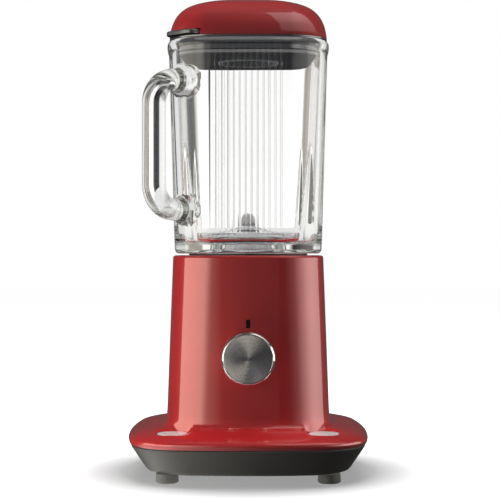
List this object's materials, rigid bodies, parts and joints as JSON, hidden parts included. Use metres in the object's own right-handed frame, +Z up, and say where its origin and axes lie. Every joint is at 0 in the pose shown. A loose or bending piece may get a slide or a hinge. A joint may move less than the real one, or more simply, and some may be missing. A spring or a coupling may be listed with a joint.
{
  "type": "countertop blender",
  "caption": "Countertop blender with a square-shouldered metal power unit, ribbed glass jug with a corner handle, blade unit, domed lid and filler cap.",
  "frame": {"origin": "on the worktop, under the motor's axis, at the centre of the base's footprint", "axes": "+Z up along the motor's axis, -Y towards the front (the speed knob), +X to the right as seen from the front"},
  "size_m": [0.2052, 0.2051, 0.4062],
  "materials": {
    "red_enamel": "gloss red stoving enamel on die-cast metal",
    "taupe_plastic": "satin taupe moulding",
    "foot_rubber": "matt",
    "bright_steel": "bright zinc-plated steel",
    "dark_plastic": "fine-grained black",
    "lamination_steel": "stacked laminations",
    "copper_wire": "enamelled copper",
    "cast_aluminium": "as die-cast",
    "brass": "plain",
    "carbon": "pressed carbon",
    "spring_steel": "drawn wire",
    "lamp_lens": "smoked",
    "lamp_diode": "clear resin",
    "board_green": "solder resist",
    "capacitor_case": "moulded",
    "knob_metal": "polished rim",
    "spun_metal": "spun, circular grain",
    "button_metal": "satin",
    "jug_glass": "pressed soda glass",
    "seal_rubber": "satin silicone",
    "blade_steel": "stainless",
    "red_lid": "gloss red",
    "clear_plastic": "clear moulded plastic"
  },
  "bodies": {
    "power_unit": {"body_shell": "red_enamel", "base_tray": "taupe_plastic", "rubber_feet": "foot_rubber", "base_screws": "bright_steel", "seat_cup": "dark_plastic", "cord_gland": "foot_rubber", "stator_core": "lamination_steel", "field_coils": "copper_wire", "upper_bracket": "cast_aluminium", "lower_bracket": "cast_aluminium", "upper_bearing": "bright_steel", "lower_bearing": "bright_steel", "tie_rods": "bright_steel", "motor_grommets": "foot_rubber", "motor_screws": "bright_steel", "brush_holders": "brass", "carbon_brushes": "carbon", "brush_springs": "spring_steel", "speed_switch": "dark_plastic", "lamp_lens": "lamp_lens", "indicator_lamp": "lamp_diode", "control_board": "board_green", "suppressor_capacitor": "capacitor_case", "button_guides": "dark_plastic", "button_switches": "dark_plastic", "ice_button_spring": "spring_steel", "pulse_button_spring": "spring_steel", "interlock_switch": "dark_plastic", "interlock_bracket": "cast_aluminium", "interlock_spring": "spring_steel"},
    "rotor": {"motor_shaft": "bright_steel", "rotor_core": "lamination_steel", "rotor_windings": "copper_wire", "commutator": "copper_wire", "cooling_fan": "dark_plastic", "drive_coupling": "dark_plastic"},
    "knob": {"speed_knob": "knob_metal", "knob_disc": "spun_metal", "knob_spindle": "dark_plastic"},
    "ice": {"ice_button": "button_metal"},
    "pulse": {"pulse_button": "button_metal"},
    "pin": {"interlock_pin": "dark_plastic"},
    "jug": {"glass_jug": "jug_glass", "jug_sealing_ring": "seal_rubber", "blade_housing": "blade_steel", "screw_collar": "dark_plastic", "spindle_bush": "brass", "spindle_seal": "seal_rubber"},
    "blades": {"blade_spindle": "bright_steel", "jug_coupling": "dark_plastic", "lower_blade": "blade_steel", "upper_blade": "blade_steel", "blade_spacer": "blade_steel", "blade_nut": "bright_steel"},
    "lid": {"lid_cover": "red_lid", "lid_seal": "seal_rubber", "filler_gasket": "seal_rubber"},
    "cap": {"filler_cap": "clear_plastic"}
  },
  "joints": [
    {"name": "motor_spin", "type": "hinge", "parent": "power_unit", "child": "rotor", "pos_m": [0, 0, 0.1], "axis": [0, 0, 1], "continuous": true},
    {"name": "knob_turn", "type": "hinge", "parent": "power_unit", "child": "knob", "pos_m": [0, -0.07, 0.1026], "axis": [0, 1, 0], "range_deg": [0, 150]},
    {"name": "ice_press", "type": "slide", "parent": "power_unit", "child": "ice", "axis": [0, 0, -1], "range_m": [0, 0.002], "stiffness_N_per_m": 500, "springref_m": -0.002, "deforming": ["ice_button_spring"]},
    {"name": "pulse_press", "type": "slide", "parent": "power_unit", "child": "pulse", "axis": [0, 0, -1], "range_m": [0, 0.002], "stiffness_N_per_m": 500, "springref_m": -0.002, "deforming": ["pulse_button_spring"]},
    {"name": "jug_lift", "type": "slide", "parent": "power_unit", "child": "jug", "axis": [0, 0, 1], "range_m": [0, 0.06]},
    {"name": "interlock_pin_rise", "type": "slide", "parent": "power_unit", "child": "pin", "axis": [0, 0, 1], "range_m": [0, 0.003], "deforming": ["interlock_spring"]},
    {"name": "blade_spin", "type": "hinge", "parent": "jug", "child": "blades", "pos_m": [0, 0, 0.2], "axis": [0, 0, 1], "continuous": true},
    {"name": "lid_lift", "type": "slide", "parent": "jug", "child": "lid", "axis": [0, 0, 1], "range_m": [0, 0.05]},
    {"name": "cap_lift", "type": "slide", "parent": "lid", "child": "cap", "axis": [0, 0, 1], "range_m": [0, 0.04]}
  ],
  "couplings": [
    {"joint": "blade_spin", "follows": "motor_spin", "ratio": 1},
    {"joint": "interlock_pin_rise", "follows": "jug_lift", "ratio": 0.05}
  ]
}
